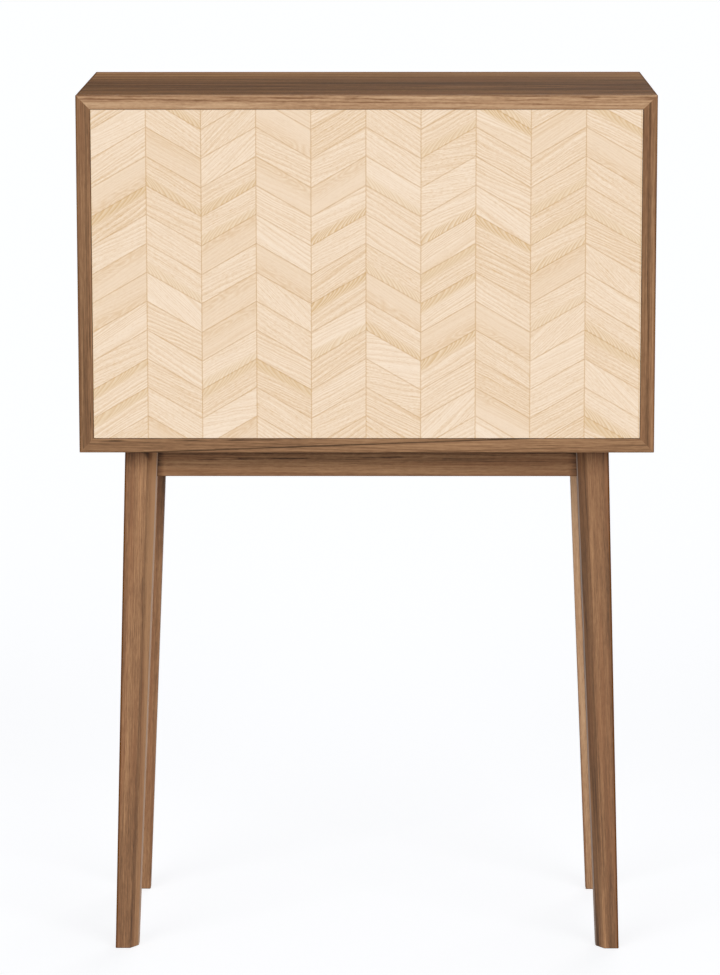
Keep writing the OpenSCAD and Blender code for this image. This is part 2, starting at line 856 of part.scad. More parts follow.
module stay_stud(side) {
    rim = 1.5;
    plate_r = stud_cap_r + 2 * screw_head_r + rim;
    neck = inner_w / 2 - stay_inner_x + pass_gap;
    color(zinc) difference() {
        at_stud(side) rotate([0, -90, 0]) {
            cylinder(h = plate_t, r = plate_r, $fn = 64);
            cylinder(h = neck + cap_t, r = stud_r, $fn = 32);
            translate([0, 0, neck]) cylinder(h = cap_t, r = stud_cap_r, $fn = 48);
        }
        at_stud_screws() screw_hole();
    }
}

module stud_screws() {
    color(steel) at_stud_screws() screw();
}

module at_bracket(side) {
    on_side(side) translate([0, axis_y + bracket_y, axis_z + bracket_z]) children();
}

module at_bracket_screws() {
    for (side = [left, right], way = [-1, 1]) at_bracket(side)
        translate([stay_inner_x - pass_gap - bracket_t - (bracket_foot_w - bracket_t) / 2,
                   -bracket_out + bracket_t, way * bracket_foot_h * 0.32])
            drive("-y") children();
}

module stay_bracket(side) {
    ear_x = stay_inner_x - pass_gap - bracket_t;
    ear_r = rivet_r + ear_rim;
    head_r = rivet_r + 2;
    head_t = 1.2;
    color(zinc) difference() {
        at_bracket(side) {
            along_x(ear_x, bracket_t) {
                circle(ear_r, $fn = 48);
                translate([-bracket_out, -ear_r]) square([bracket_out, 2 * ear_r]);
            }
            translate([ear_x + bracket_t - bracket_foot_w, -bracket_out, -bracket_foot_h / 2])
                cube([bracket_foot_w, bracket_t, bracket_foot_h]);
            translate([ear_x, 0, 0]) rotate([0, 90, 0])
                cylinder(h = stay_outer_x + pass_gap + head_t - ear_x, r = rivet_r, $fn = 32);
            translate([stay_outer_x + pass_gap, 0, 0]) rotate([0, 90, 0])
                cylinder(h = head_t, r = head_r, $fn = 32);
        }
        at_bracket_screws() screw_hole();
    }
}

module stay_arm(side) {
    color(steel) at_bracket(side) rotate([stay_angle, 0, 0]) difference() {
        along_x(stay_inner_x, stay_t) difference() {
            union() {
                circle(stay_w / 2, $fn = 48);
                translate([0, -stay_w / 2]) square([stay_l, stay_w]);
                translate([stay_l, 0]) circle(stay_w / 2, $fn = 48);
            }
            translate([reach_shut, 0]) circle(slot_r, $fn = 32);
            translate([reach_shut, -slot_r]) square([reach_open - reach_shut, 2 * slot_r]);
            translate([reach_open, 0]) circle(slot_r, $fn = 32);
        }
        translate([stay_inner_x - through, 0, 0]) rotate([0, 90, 0])
            cylinder(h = stay_t + 2 * through, r = rivet_r + pin_gap, $fn = 32);
    }
}

// Push latch under the top panel, with its strike on the flap

module at_latch_screws() {
    for (way = [-1, 1])
        translate([way * (latch_w + latch_ear) / 2, latch_front + latch_l / 2,
                   z_ceiling - latch_wall])
            drive("+z") children();
}

// Slot in the body's underside, as long as the plunger's travel, that its peg slides in
module guide_slot() {
    r = peg_r + pass_gap;
    low = z_ceiling - latch_h - through;
    for (y = [peg_y - latch_travel, peg_y])
        translate([0, y, low]) cylinder(h = latch_z - low, r = r, $fn = 32);
    translate([-r, peg_y - latch_travel, low]) cube([2 * r, latch_travel, latch_z - low]);
}

module latch_body() {
    ears = latch_w + 2 * latch_ear;
    color(nylon) difference() {
        union() {
            translate([-latch_w / 2, latch_front, z_ceiling - latch_h])
                cube([latch_w, latch_l, latch_h]);
            translate([-ears / 2, latch_front + latch_l / 2 - latch_ear, z_ceiling - latch_wall])
                cube([ears, 2 * latch_ear, latch_wall]);
        }
        translate([0, latch_front - through, latch_z]) rotate([-90, 0, 0])
            cylinder(h = through + latch_l - latch_wall, r = plunger_r + pin_gap, $fn = 32);
        guide_slot();
        at_latch_screws() screw_hole();
    }
}

module latch_screws() {
    color(steel) at_latch_screws() screw();
}

// Drawn pushed in, its tip on the strike
module latch_plunger() {
    tip_y = flap_inner_y + strike_t;
    peg_low = z_ceiling - latch_h + pass_gap;
    color(nylon) {
        translate([0, tip_y, latch_z]) rotate([-90, 0, 0]) {
            cylinder(h = tip_t, r = plunger_r + tip_rim, $fn = 32);
            cylinder(h = plunger_end - tip_y, r = plunger_r, $fn = 32);
        }
        translate([0, peg_y, peg_low]) cylinder(h = latch_z - peg_low, r = peg_r, $fn = 24);
    }
}

module at_strike_screw() {
    translate([0, flap_inner_y + strike_t, latch_z]) drive("-y") children();
}

module latch_strike() {
    strike_r = latch_h / 2 - top_gap - pass_gap;
    color(zinc) difference() {
        translate([0, flap_inner_y, latch_z]) rotate([-90, 0, 0])
            cylinder(h = strike_t, r = strike_r, $fn = 48);
        at_strike_screw() screw_hole();
    }
}

module at_flap_screws() {
    at_arm_screws() children();
    at_bracket_screws() children();
    at_strike_screw() children();
}

module flap_screws() {
    color(steel) at_flap_screws() screw();
}

top_panel();
bottom_panel();
side_panel(left);  // left_side_panel
side_panel(right);  // right_side_panel
lipping("top");  // top_lipping
lipping("bottom");  // bottom_lipping
lipping("left");  // left_lipping
lipping("right");  // right_lipping
mitre_keys();
back_panel();
back_panel_screws();
shelf();
shelf_lipping();
shelf_pins();
leg(left, front);  // front_left_leg
leg(right, front);  // front_right_leg
leg(left, rear);  // rear_left_leg
leg(right, rear);  // rear_right_leg
long_apron(front);  // front_apron
long_apron(rear);  // rear_apron
short_apron(left);  // left_apron
short_apron(right);  // right_apron
apron_dowels();
corner_block(left, front);  // front_left_block
corner_block(right, front);  // front_right_block
corner_block(left, rear);  // rear_left_block
corner_block(right, rear);  // rear_right_block
block_screws();
case_screws();
hinge_base(left);  // left_hinge_base
hinge_base(right);  // right_hinge_base
hinge_base_screws();
hinge_pins();
stay_stud(left);  // left_stay_stud
stay_stud(right);  // right_stay_stud
stud_screws();
latch_body();
latch_screws();
latch_plunger();
flap_core();
flap_lipping();
chevron_column(1);  // chevron_column_1
chevron_column(2);  // chevron_column_2
chevron_column(3);  // chevron_column_3
chevron_column(4);  // chevron_column_4
chevron_column(5);  // chevron_column_5
chevron_column(6);  // chevron_column_6
chevron_column(7);  // chevron_column_7
chevron_column(8);  // chevron_column_8
chevron_column(9);  // chevron_column_9
chevron_column(10);  // chevron_column_10
hinge_arm(left);  // left_hinge_arm
hinge_arm(right);  // right_hinge_arm
stay_bracket(left);  // left_stay_bracket
stay_bracket(right);  // right_stay_bracket
latch_strike();
flap_screws();
stay_arm(left);  // left_stay_arm
stay_arm(right);  // right_stay_arm
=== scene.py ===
"""Drop-front bar cabinet: the finishes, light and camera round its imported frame, in metres."""

from math import cos, radians, sqrt, tan

import bmesh
import bpy
from mathutils import Matrix, Vector


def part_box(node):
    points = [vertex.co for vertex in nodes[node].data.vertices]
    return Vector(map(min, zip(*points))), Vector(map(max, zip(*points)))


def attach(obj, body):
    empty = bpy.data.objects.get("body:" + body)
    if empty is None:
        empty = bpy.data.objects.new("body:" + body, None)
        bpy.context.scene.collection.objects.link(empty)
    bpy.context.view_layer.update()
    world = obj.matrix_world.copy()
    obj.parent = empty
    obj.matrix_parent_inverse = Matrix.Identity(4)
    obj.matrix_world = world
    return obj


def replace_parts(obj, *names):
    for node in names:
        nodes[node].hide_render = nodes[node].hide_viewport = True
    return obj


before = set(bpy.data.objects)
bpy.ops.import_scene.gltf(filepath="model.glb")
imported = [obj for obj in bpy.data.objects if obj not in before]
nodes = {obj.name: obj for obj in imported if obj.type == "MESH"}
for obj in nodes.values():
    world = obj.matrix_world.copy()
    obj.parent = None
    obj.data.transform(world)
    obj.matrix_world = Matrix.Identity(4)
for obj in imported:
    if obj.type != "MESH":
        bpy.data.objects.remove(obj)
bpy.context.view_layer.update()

# Camera. The photograph is taken from eye height, almost square on, with a long lens.
# Its place and lens were solved from the edges of the case, the legs and the feet.
PHOTO_HEIGHT_PX = 975
FOCAL_PX = 4238.13
CAMERA_PLACE = (0.03019, -6.41103, 1.79815)
LOOKS_DOWN_DEG = 9.908
ROLLED_DEG = 0.05
TURNED_DEG = 0.3626
SENSOR_MM = 36
FARTHEST_SEEN = 400
camera_data = bpy.data.cameras.new("photo_camera")
camera_data.sensor_width = SENSOR_MM
camera_data.lens = SENSOR_MM * FOCAL_PX / PHOTO_HEIGHT_PX
camera_data.clip_end = FARTHEST_SEEN
camera = bpy.data.objects.new("photo_camera", camera_data)
camera.location = CAMERA_PLACE
camera.rotation_euler = (radians(90 - LOOKS_DOWN_DEG), radians(ROLLED_DEG), radians(TURNED_DEG))
bpy.context.scene.collection.objects.link(camera)
bpy.context.scene.camera = camera


# Studio light. Two broad soft lamps stand in front, a little above the cabinet, and a weaker
# one behind it; a pale room fills in the rest. The room shows white behind the object.
def feed(tree, socket, value):
    """Links a socket to another node's output, or sets its value."""
    if isinstance(value, bpy.types.NodeSocket):
        tree.links.new(value, socket)
    else:
        socket.default_value = value


def place(tree, kind, inputs=None, **settings):
    """Adds a node with its settings, and feeds the inputs that are named or numbered."""
    made = tree.nodes.new("ShaderNode" + kind)
    for name, value in settings.items():
        setattr(made, name, value)
    for key, value in (inputs or {}).items():
        feed(tree, made.inputs[key], value)
    return made


def maths(tree, operation, *values, use_clamp=False):
    """The result of one step of arithmetic."""
    made = place(tree, "Math", dict(enumerate(values)), operation=operation, use_clamp=use_clamp)
    return made.outputs[0]


def ranged(tree, value, start, end, low=0.0, high=1.0, **settings):
    """Low where a value is at its start, high where it is at its end, and even in between."""
    made = place(tree, "MapRange", {"Value": value, "From Min": start, "From Max": end,
                                    "To Min": low, "To Max": high}, **settings)
    return made.outputs[0]


def between(tree, share, low, high):
    """What lies a share from 0 to 1 of the way from low to high."""
    return ranged(tree, share, 0.0, 1.0, low, high)


def mixed(tree, factor, first, second):
    """The colour between two colours."""
    made = place(tree, "Mix", {0: factor, 6: first, 7: second}, data_type="RGBA")
    return made.outputs[2]


def paint(red, green, blue):
    """A colour as the eye reads it, from 0 to 255, in the renderer's own scale."""
    def linear(value):
        share = value / 255
        return share / 12.92 if share <= 0.04045 else ((share + 0.055) / 1.055) ** 2.4
    return (linear(red), linear(green), linear(blue), 1)


def seen_directly(tree):
    """1 where the camera, a reflection or a clear piece looks at this, 0 for plain light."""
    path = place(tree, "LightPath").outputs
    either = maths(tree, "MAXIMUM", path["Is Camera Ray"], path["Is Glossy Ray"])
    return maths(tree, "MAXIMUM", either, path["Is Transmission Ray"])


STUDIO_WHITE = paint(252, 253, 255)
ROOM_FILL = 0.27
room = bpy.data.worlds.new("pale_room")
room.use_nodes = True
tree = room.node_tree
tree.nodes.clear()
fill = between(tree, seen_directly(tree), ROOM_FILL, 1.0)
air = place(tree, "Background", {"Color": STUDIO_WHITE, "Strength": fill})
place(tree, "OutputWorld", {"Surface": air.outputs[0]})
bpy.context.scene.world = room
bpy.context.scene.view_settings.view_transform = "Standard"

# Each lamp's bearing is in degrees round the cabinet from straight in front of it
LAMP_HEIGHT_DEG = 20
LAMP_BREADTH_DEG = 38
LAMPS = {
    "front_left_lamp": (-30, 1.19),
    "front_right_lamp": (30, 1.19),
    "back_lamp": (165, 1.1),
}
for lamp_name, (bearing, strength) in LAMPS.items():
    lamp_data = bpy.data.lights.new(lamp_name, "SUN")
    lamp_data.energy = strength
    lamp_data.angle = radians(LAMP_BREADTH_DEG)
    lamp = bpy.data.objects.new(lamp_name, lamp_data)
    lamp.rotation_euler = (radians(90 - LAMP_HEIGHT_DEG), 0, radians(bearing))
    bpy.context.scene.collection.objects.link(lamp)


# Floor. A pale sheet that runs out of view. It reads as white, and its diffuse share
# carries the cabinet's soft shadow.
def as_object(mesh, name):
    """Turns finished mesh work into an object at the origin, with its place in its mesh."""
    made = bpy.data.meshes.new(name)
    mesh.to_mesh(made)
    mesh.free()
    thing = bpy.data.objects.new(name, made)
    bpy.context.scene.collection.objects.link(thing)
    return thing


FLOOR_REACH = 150
FLOOR_LIT = (0.78, 0.783, 0.79, 1)
FLOOR_SHADED = (0.35, 0.352, 0.356, 1)
FLOOR_GLOW = 0.785
sheet = bmesh.new()
bmesh.ops.create_grid(sheet, x_segments=1, y_segments=1, size=FLOOR_REACH)
floor = as_object(sheet, "floor")
floor_finish = bpy.data.materials.new("pale_floor")
floor_finish.use_nodes = True
tree = floor_finish.node_tree
tree.nodes.clear()
seen = seen_directly(tree)
matt = place(tree, "BsdfDiffuse", {"Color": mixed(tree, seen, FLOOR_LIT, FLOOR_SHADED)})
lift = between(tree, seen, 0.0, FLOOR_GLOW)
glow = place(tree, "Emission", {"Color": STUDIO_WHITE, "Strength": lift})
both = place(tree, "AddShader", {0: matt.outputs[0], 1: glow.outputs[0]})
place(tree, "OutputMaterial", {"Surface": both.outputs[0]})
floor.data.materials.append(floor_finish)


# Case panels. Four boards veneered in walnut and oiled matt, mitred where they meet.
# The veneer's rings run along each board, with broad dark streaks of heartwood.
def plus(tree, first, second):
    return maths(tree, "ADD", first, second)


def minus(tree, first, second):
    return maths(tree, "SUBTRACT", first, second)


def times(tree, first, second):
    return maths(tree, "MULTIPLY", first, second)


def vector_maths(tree, operation, first, second):
    """The result of one step of arithmetic on vectors. A dot product is a plain number."""
    other = "Scale" if operation == "SCALE" else 1
    made = place(tree, "VectorMath", {0: first, other: second}, operation=operation)
    return made.outputs["Value" if operation == "DOT_PRODUCT" else "Vector"]


def parts_of(tree, vector):
    """A vector's X, Y and Z."""
    return place(tree, "SeparateXYZ", {0: vector}).outputs


def new_group(name, inputs, outputs):
    """A shader node group. Each input is (name, kind, value) and each output (name, kind)."""
    group = bpy.data.node_groups.new(name, "ShaderNodeTree")
    for socket_name, kind, value in inputs:
        made = group.interface.new_socket(socket_name, in_out="INPUT",
                                          socket_type="NodeSocket" + kind)
        if value is not None:
            made.default_value = value
    for socket_name, kind in outputs:
        group.interface.new_socket(socket_name, in_out="OUTPUT", socket_type="NodeSocket" + kind)
    start = group.nodes.new("NodeGroupInput")
    end = group.nodes.new("NodeGroupOutput")
    return group, start.outputs, end.inputs


def use_group(tree, group, **inputs):
    """Places a group in a tree, with its own values."""
    made = tree.nodes.new("ShaderNodeGroup")
    made.node_tree = group
    for name, value in inputs.items():
        feed(tree, made.inputs[name], value)
    return made.outputs


def figure(tree, board, seed, length, width, detail=2.0, roughness=0.5, output="Fac"):
    """Soft random figure, drawn out along a board's grain. Its usual length and width are in
    metres, and the seed says where along an endless board it is cut from."""
    moved = place(tree, "CombineXYZ", {"X": seed})
    cut_from = vector_maths(tree, "ADD", board, moved.outputs[0])
    drawn = vector_maths(tree, "MULTIPLY", cut_from, (1 / length, 1 / width, 1 / width))
    made = place(tree, "TexNoise", {"Vector": drawn, "Scale": 1.0, "Detail": detail,
                                    "Roughness": roughness})
    return made.outputs[output]


def drifting(tree, year, seed, pace, detail):
    """A value from 0 to 1 that drifts as a tree's years go by."""
    made = place(tree, "TexNoise", {"W": plus(tree, year, seed), "Scale": pace,
                                    "Detail": detail}, noise_dimensions="1D")
    return made.outputs["Fac"]


# Growth rings round a pith that lies to the side of and below the board's face. The trunk's
# taper makes their lines run out of the board at a slant. A year is darkest late in it.
DARKEST_AT = 0.75
FAINTEST_LINE = 0.2
SEED_STEP = 7.31
rings, given, out = new_group(
    "growth_rings",
    [("Vector", "Vector", None), ("Seed", "Float", 0.0), ("Spacing", "Float", 0.003),
     ("Side", "Float", 0.05), ("Depth", "Float", 0.03), ("Taper", "Float", 0.02),
     ("Warp", "Float", 0.002), ("Sharpness", "Float", 3.0), ("Uneven", "Float", 7.0)],
    [("Line", "Float"), ("Season", "Float"), ("Tone", "Float")])
waves = figure(rings, given["Vector"], given["Seed"], 0.35, 0.025, output="Color")
centred = vector_maths(rings, "SUBTRACT", waves, (0.5, 0.5, 0.5))
bent = vector_maths(rings, "SCALE", centred, given["Warp"])
spot = parts_of(rings, vector_maths(rings, "ADD", given["Vector"], bent))
across = plus(rings, spot["Y"], given["Side"])
below = plus(rings, spot["Z"], given["Depth"])
radius = maths(rings, "SQRT", plus(
    rings, times(rings, across, across), times(rings, below, below)))
tapered = plus(rings, radius, times(rings, spot["X"], given["Taper"]))
count = maths(rings, "DIVIDE", tapered, given["Spacing"])
uneven = drifting(rings, count, given["Seed"], 0.17, 1.0)
years = plus(rings, count, times(rings, uneven, given["Uneven"]))
season = maths(rings, "FRACT", years)
edge = maths(rings, "MINIMUM", maths(rings, "DIVIDE", season, DARKEST_AT),
             maths(rings, "DIVIDE", minus(rings, 1.0, season), 1 - DARKEST_AT))
feed(rings, out["Season"], edge)
year = plus(rings, maths(rings, "FLOOR", years), times(rings, given["Seed"], SEED_STEP))
luck = place(rings, "TexWhiteNoise", {"W": year}, noise_dimensions="1D").outputs["Value"]
weight = plus(rings, times(rings, luck, 1 - FAINTEST_LINE), FAINTEST_LINE)
line = maths(rings, "POWER", edge, given["Sharpness"])
feed(rings, out["Line"], times(rings, weight, line))
feed(rings, out["Tone"], drifting(rings, years, given["Seed"], 0.21, 2.0))

# Fibres: broad and fine streaks, a mottle that crosses them, and bundles of open pores
PORES_START = 0.56
PORES_FULL = 0.68
fibres, given, out = new_group(
    "wood_fibres",
    [("Vector", "Vector", None), ("Seed", "Float", 0.0)],
    [("Broad", "Float"), ("Fine", "Float"), ("Pores", "Float"), ("Mottle", "Float")])
for output, length, width, detail in (("Broad", 0.28, 0.013, 3.0), ("Fine", 0.08, 0.0021, 3.0),
                                      ("Mottle", 0.007, 0.0022, 2.0)):
    streak = figure(fibres, given["Vector"], given["Seed"], length, width, detail,
                    roughness=0.55)
    feed(fibres, out[output], streak)
dashes = figure(fibres, given["Vector"], given["Seed"], 0.022, 0.0009)
feed(fibres, out["Pores"], ranged(fibres, dashes, PORES_START, PORES_FULL))

# Edges that were softened with abrasive take up more oil and look darker and redder. Two
# parts of the normal's direction multiply to 0 on a flat face and to 0.5 on a broken arris.
EDGE_STARTS = 0.3
EDGE_FULL = 0.42
edges, given, out = new_group(
    "softened_edge", [("Place", "Vector", None), ("Normal", "Vector", None)], [("Mask", "Float")])
facing = parts_of(edges, given["Normal"])
spot = parts_of(edges, given["Place"])
outwards = maths(edges, "MAXIMUM", 0.0, times(edges, facing["X"], maths(edges, "SIGN", spot["X"])))
front_edge = times(edges, outwards, maths(edges, "ABSOLUTE", facing["Y"]))
level_edge = plus(edges, maths(edges, "ABSOLUTE", times(edges, facing["Y"], facing["Z"])),
                  maths(edges, "ABSOLUTE", times(edges, facing["X"], facing["Z"])))
mask = ranged(edges, plus(edges, front_edge, level_edge), EDGE_STARTS, EDGE_FULL)
feed(edges, out["Mask"], mask)


def new_finish(name, roughness, shine=0.3, metallic=0.0):
    """A material, its tree, its shader's inputs, and the coordinates of the piece that wears
    it. Roughness is a plain value until something feeds it."""
    finish = bpy.data.materials.new(name)
    finish.use_nodes = True
    tree = finish.node_tree
    shader = tree.nodes["Principled BSDF"].inputs
    shader["Roughness"].default_value = roughness
    shader["Specular IOR Level"].default_value = shine
    shader["Metallic"].default_value = metallic
    return finish, tree, shader, place(tree, "TexCoord").outputs


def lay_board(tree, coordinates, piece, along, across):
    """A piece's coordinates from its middle: X runs along the grain, and Y across the face."""
    low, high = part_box(piece)
    first = Vector(along).normalized()
    second = (Vector(across) - first * first.dot(Vector(across))).normalized()
    turn = Matrix((first, second, first.cross(second)))
    mapping = place(tree, "Mapping", {"Vector": coordinates["Object"],
                                      "Location": -(turn @ ((low + high) / 2)),
                                      "Rotation": turn.to_euler()})
    return mapping.outputs[0]


def swung(tree, value, *swings):
    """Moves a value up and down with figures from 0 to 1. Each swing is (figure, share)."""
    for source, share in swings:
        value = plus(tree, value, times(tree, minus(tree, source, 0.5), share))
    return value


def toned(tree, value, tones):
    """The colour at a value from 0 to 1 along three tones, dark to light."""
    ramp = place(tree, "ValToRGB", {0: value})
    ramp.color_ramp.elements.new(0.5)
    for stop, colour in zip(ramp.color_ramp.elements, tones):
        stop.color = colour
    return ramp.outputs["Color"]


def raise_grain(tree, shader, height, depth):
    """Turns a height from 0 to 1 into relief of a given depth in metres."""
    bump = place(tree, "Bump", {"Strength": 1.0, "Distance": depth, "Height": height})
    feed(tree, shader["Normal"], bump.outputs[0])


def dress(finish, *names):
    """Gives CAD nodes a finish, in place of the plain colour that they were packed with."""
    for name in names:
        materials = nodes[name].data.materials
        materials.clear()
        materials.append(finish)


WALNUT = (paint(78, 55, 38), paint(136, 98, 68), paint(180, 136, 97))
WALNUT_RED = paint(147, 98, 66)
OILED_EDGE = paint(96, 52, 0)
# Painted highlight: the pale grey line where an arris catches the light
PAINTED_HIGHLIGHT = paint(186, 174, 166)
OILED_RIM = 0.003
# How wide that painted highlight is
HIGHLIGHT_RIM = 0.0018
WALNUT_LEVEL = 0.55


def streak_mask(tree, board, seed, middle, width, slope, broken):
    """A band along the grain, at a place across the board. A broken one comes and goes."""
    spot = parts_of(tree, board)
    line = plus(tree, middle, times(tree, spot["X"], slope))
    off = maths(tree, "ABSOLUTE", minus(tree, spot["Y"], line))
    band = ranged(tree, off, width, 0.25 * width, interpolation_type="SMOOTHSTEP")
    if broken:
        clouds = figure(tree, board, seed, 0.045, 0.006)
        band = times(tree, band, ranged(tree, clouds, 0.5, 0.66))
    return band


def rim_mask(tree, coordinates, direction, distance, depth):
    """A band along an outer edge, as wide as its depth and soft on its inner side. The edge lies
    in a plane that faces a direction, at a distance that way. Wood that faces the same way stays
    plain."""
    out_to = vector_maths(tree, "DOT_PRODUCT", coordinates["Object"], direction)
    near = ranged(tree, out_to, distance - depth, distance - 0.6 * depth)
    faces_out = vector_maths(tree, "DOT_PRODUCT", coordinates["Normal"], direction)
    return times(tree, near, ranged(tree, faces_out, 0.95, 0.8))


def walnut(piece, along, across, seed, level=0.0, lengthwise=0.0, side=0.07, depth=0.03,
           taper=0.012, spacing=0.0042, contrast=1.0, shorten=1.0, packing=1.0, palette=WALNUT,
           red=0.4, shine=0.14, edge_oil=0.7, streaks=(), tucked=(), rims=(), highlight_rims=()):
    """Oiled walnut. Level moves a whole board lighter or darker, and lengthwise does so from end
    to end. Side, depth, taper and spacing say how its rings lie. Shorten draws the fibres out
    below 1, and packing lays them closer above 1. Edge oil is how dark softened edges are.
    A streak is one band of other wood, or of painted shade or light where noted: its place
    across the board, half its width, its strength, its slope, and whether it is broken. Tucked
    wood gets painted shade where another piece's shadow falls on it: the direction towards that
    piece, its distance that way, how far back the shade reaches, and its strength. A rim is an
    outer edge that is dark with oil: its direction, its distance that way, and its strength. A
    pale rim is a painted highlight, where an arris catches the light; painted shade fades it."""
    finish, tree, shader, coordinates = new_finish(piece + "_walnut", 0.6, shine)
    board = lay_board(tree, coordinates, piece, along, across)
    ring = use_group(tree, rings, Vector=board, Seed=seed, Spacing=spacing, Side=side,
                     Depth=depth, Taper=taper, Warp=0.004, Sharpness=3.5)
    drawn = vector_maths(tree, "MULTIPLY", board, (shorten, packing, packing))
    fibre = use_group(tree, fibres, Vector=drawn, Seed=seed)
    run = parts_of(tree, board)["X"]
    value = plus(tree, level + WALNUT_LEVEL, times(tree, run, lengthwise))
    value = swung(tree, value, (ring["Tone"], 0.8 * contrast), (fibre["Broad"], 1.0 * contrast),
                  (fibre["Fine"], 1.25 * contrast), (fibre["Mottle"], 0.7 * contrast))
    value = minus(tree, value, times(tree, ring["Line"], 0.5 * contrast))
    value = minus(tree, value, times(tree, fibre["Pores"], 0.22))
    for middle, width, strength, slope, broken in streaks:
        band = streak_mask(tree, board, seed, middle, width, slope, broken)
        value = plus(tree, value, times(tree, band, strength))
    # Painted shade: wood close to another piece is darkened where that piece's shadow falls
    shade = 0.0
    for direction, distance, reach, strength in tucked:
        towards = vector_maths(tree, "DOT_PRODUCT", coordinates["Object"], direction)
        shade = plus(tree, shade, ranged(tree, towards, distance - reach, distance,
                                         high=strength))
    wood = toned(tree, minus(tree, value, shade), palette)

    redness = ranged(tree, figure(tree, board, seed + 3.7, 0.4, 0.012), 0.45, 0.65, high=red)
    warm = mixed(tree, redness, wood, WALNUT_RED)
    softened = use_group(tree, edges, Place=coordinates["Object"], Normal=coordinates["Normal"])
    oil = times(tree, softened["Mask"], edge_oil)
    for direction, distance, strength in rims:
        rim = rim_mask(tree, coordinates, direction, distance, OILED_RIM)
        oil = maths(tree, "MAXIMUM", oil, times(tree, rim, strength))
    colour = mixed(tree, oil, warm, OILED_EDGE)
    # Painted highlight along an arris where it catches the light, faded where painted shade lies
    for direction, distance, strength in highlight_rims:
        unshaded = maths(tree, "SUBTRACT", 1.0, times(tree, shade, 2.0), use_clamp=True)
        rim = times(tree, unshaded, rim_mask(tree, coordinates, direction, distance, HIGHLIGHT_RIM))
        colour = mixed(tree, times(tree, rim, strength), colour, PAINTED_HIGHLIGHT)
    feed(tree, shader["Base Color"], colour)
    feed(tree, shader["Roughness"], ranged(tree, fibre["Fine"], 0.3, 0.7, 0.54, 0.68))
    relief = minus(tree, fibre["Fine"], times(tree, fibre["Pores"], 0.6))
    raise_grain(tree, shader, relief, depth=0.00012)
    dress(finish, piece)


WIDE, DEEP, UP = (1, 0, 0), (0, 1, 0), (0, 0, 1)
LEFTWARD, DOWNWARD = (-1, 0, 0), (0, 0, -1)
TOP_WALNUT = (paint(76, 54, 35), paint(136, 98, 63), paint(184, 139, 93))
case_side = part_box("top_panel")[1].x
walnut("top_panel", WIDE, DEEP, 2.0, level=0.03, depth=0.12, palette=TOP_WALNUT, shine=0.002,
       streaks=[(-0.03, 0.13, -0.28, 0.0, False), (-0.15, 0.07, -0.12, 0.0, False),
                (0.2, 0.1, 0.22, 0.0, False)],
       rims=[(WIDE, case_side, 0.9), (LEFTWARD, case_side, 0.9)])
walnut("bottom_panel", WIDE, DEEP, 5.3, depth=0.12, shine=0.05)
walnut("left_side_panel", UP, DEEP, 8.1, depth=0.12)
walnut("right_side_panel", UP, DEEP, 11.9, depth=0.12)

# Front strips. Solid walnut strips glued to the panels' front edges and mitred like them.
# The top one is cut from paler wood than the other three.
PALE_WALNUT = (paint(128, 92, 64), paint(182, 144, 109), paint(213, 178, 142))
OLIVE_WALNUT = (paint(79, 57, 38), paint(137, 101, 71), paint(181, 140, 102))
door_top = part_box("top_lipping")[0].z
under_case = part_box("bottom_panel")[0].z
walnut("top_lipping", WIDE, UP, 1.4, level=0.045, spacing=0.006, contrast=0.75,
       palette=PALE_WALNUT, red=0.12, edge_oil=0.15,
       streaks=[(0.0105, 0.003, -0.2, 0.0, False), (0.0055, 0.005, -0.35, 0.0, True),
                (-0.005, 0.006, 0.12, 0.0, False)],
       rims=[(DOWNWARD, -door_top, 0.25)])
walnut("bottom_lipping", WIDE, UP, 3.1, level=0.09, side=0.05, taper=0.032, contrast=0.6,
       shorten=0.6, palette=OLIVE_WALNUT, red=0.0, edge_oil=0.1,
       streaks=[(0.002, 0.0016, -0.55, 0.037, False), (-0.012, 0.0013, -0.25, 0.03, False),
                (0.0095, 0.0018, -0.45, 0.006, True)],
       rims=[(DOWNWARD, -under_case, 0.12)])
walnut("left_lipping", UP, WIDE, 6.6, contrast=0.6, shorten=0.5, palette=OLIVE_WALNUT, red=0.25,
       streaks=[(0.003, 0.0018, -0.12, 0.004, False), (0.0065, 0.0012, -0.4, 0.0, True),
                (-0.006, 0.004, 0.1, 0.0, False)],
       rims=[(LEFTWARD, case_side, 0.35)])
walnut("right_lipping", UP, WIDE, 9.2, level=-0.03, contrast=0.75, shorten=0.5,
       palette=OLIVE_WALNUT, red=0.25,
       streaks=[(-0.0005, 0.0028, -0.26, 0.0, False), (0.007, 0.003, 0.22, 0.0, False)],
       rims=[(WIDE, case_side, 0.3)])

# Mitre keys. Loose keys of plain planed beech, glued across the four corners.
# Beech is pink and even, with a short dark fleck.
BEECH_DARK = paint(196, 162, 128)
BEECH_LIGHT = paint(222, 192, 158)
BEECH_FLECK = paint(160, 118, 84)


def beech(name, seed, along, across, *pieces):
    """Plain beech, laid out on the first of the pieces that wear it."""
    finish, tree, shader, coordinates = new_finish(name, 0.6)
    board = lay_board(tree, coordinates, pieces[0], along, across)
    fibre = use_group(tree, fibres, Vector=board, Seed=seed)
    flecks = figure(tree, board, seed, 0.003, 0.0006, detail=0.0)
    ground = mixed(tree, fibre["Fine"], BEECH_DARK, BEECH_LIGHT)
    flecked = mixed(tree, ranged(tree, flecks, 0.62, 0.72, high=0.45), ground, BEECH_FLECK)
    feed(tree, shader["Base Color"], flecked)
    raise_grain(tree, shader, fibre["Fine"], depth=0.0001)
    dress(finish, *pieces)


beech("key_beech", 4.4, DEEP, WIDE, "mitre_keys")

# Back panel. Walnut-veneered board let into a rebate and held with countersunk steel
# screws, whose zinc plating is a little cloudy.
walnut("back_panel", WIDE, UP, 14.5, level=-0.05, depth=0.1)

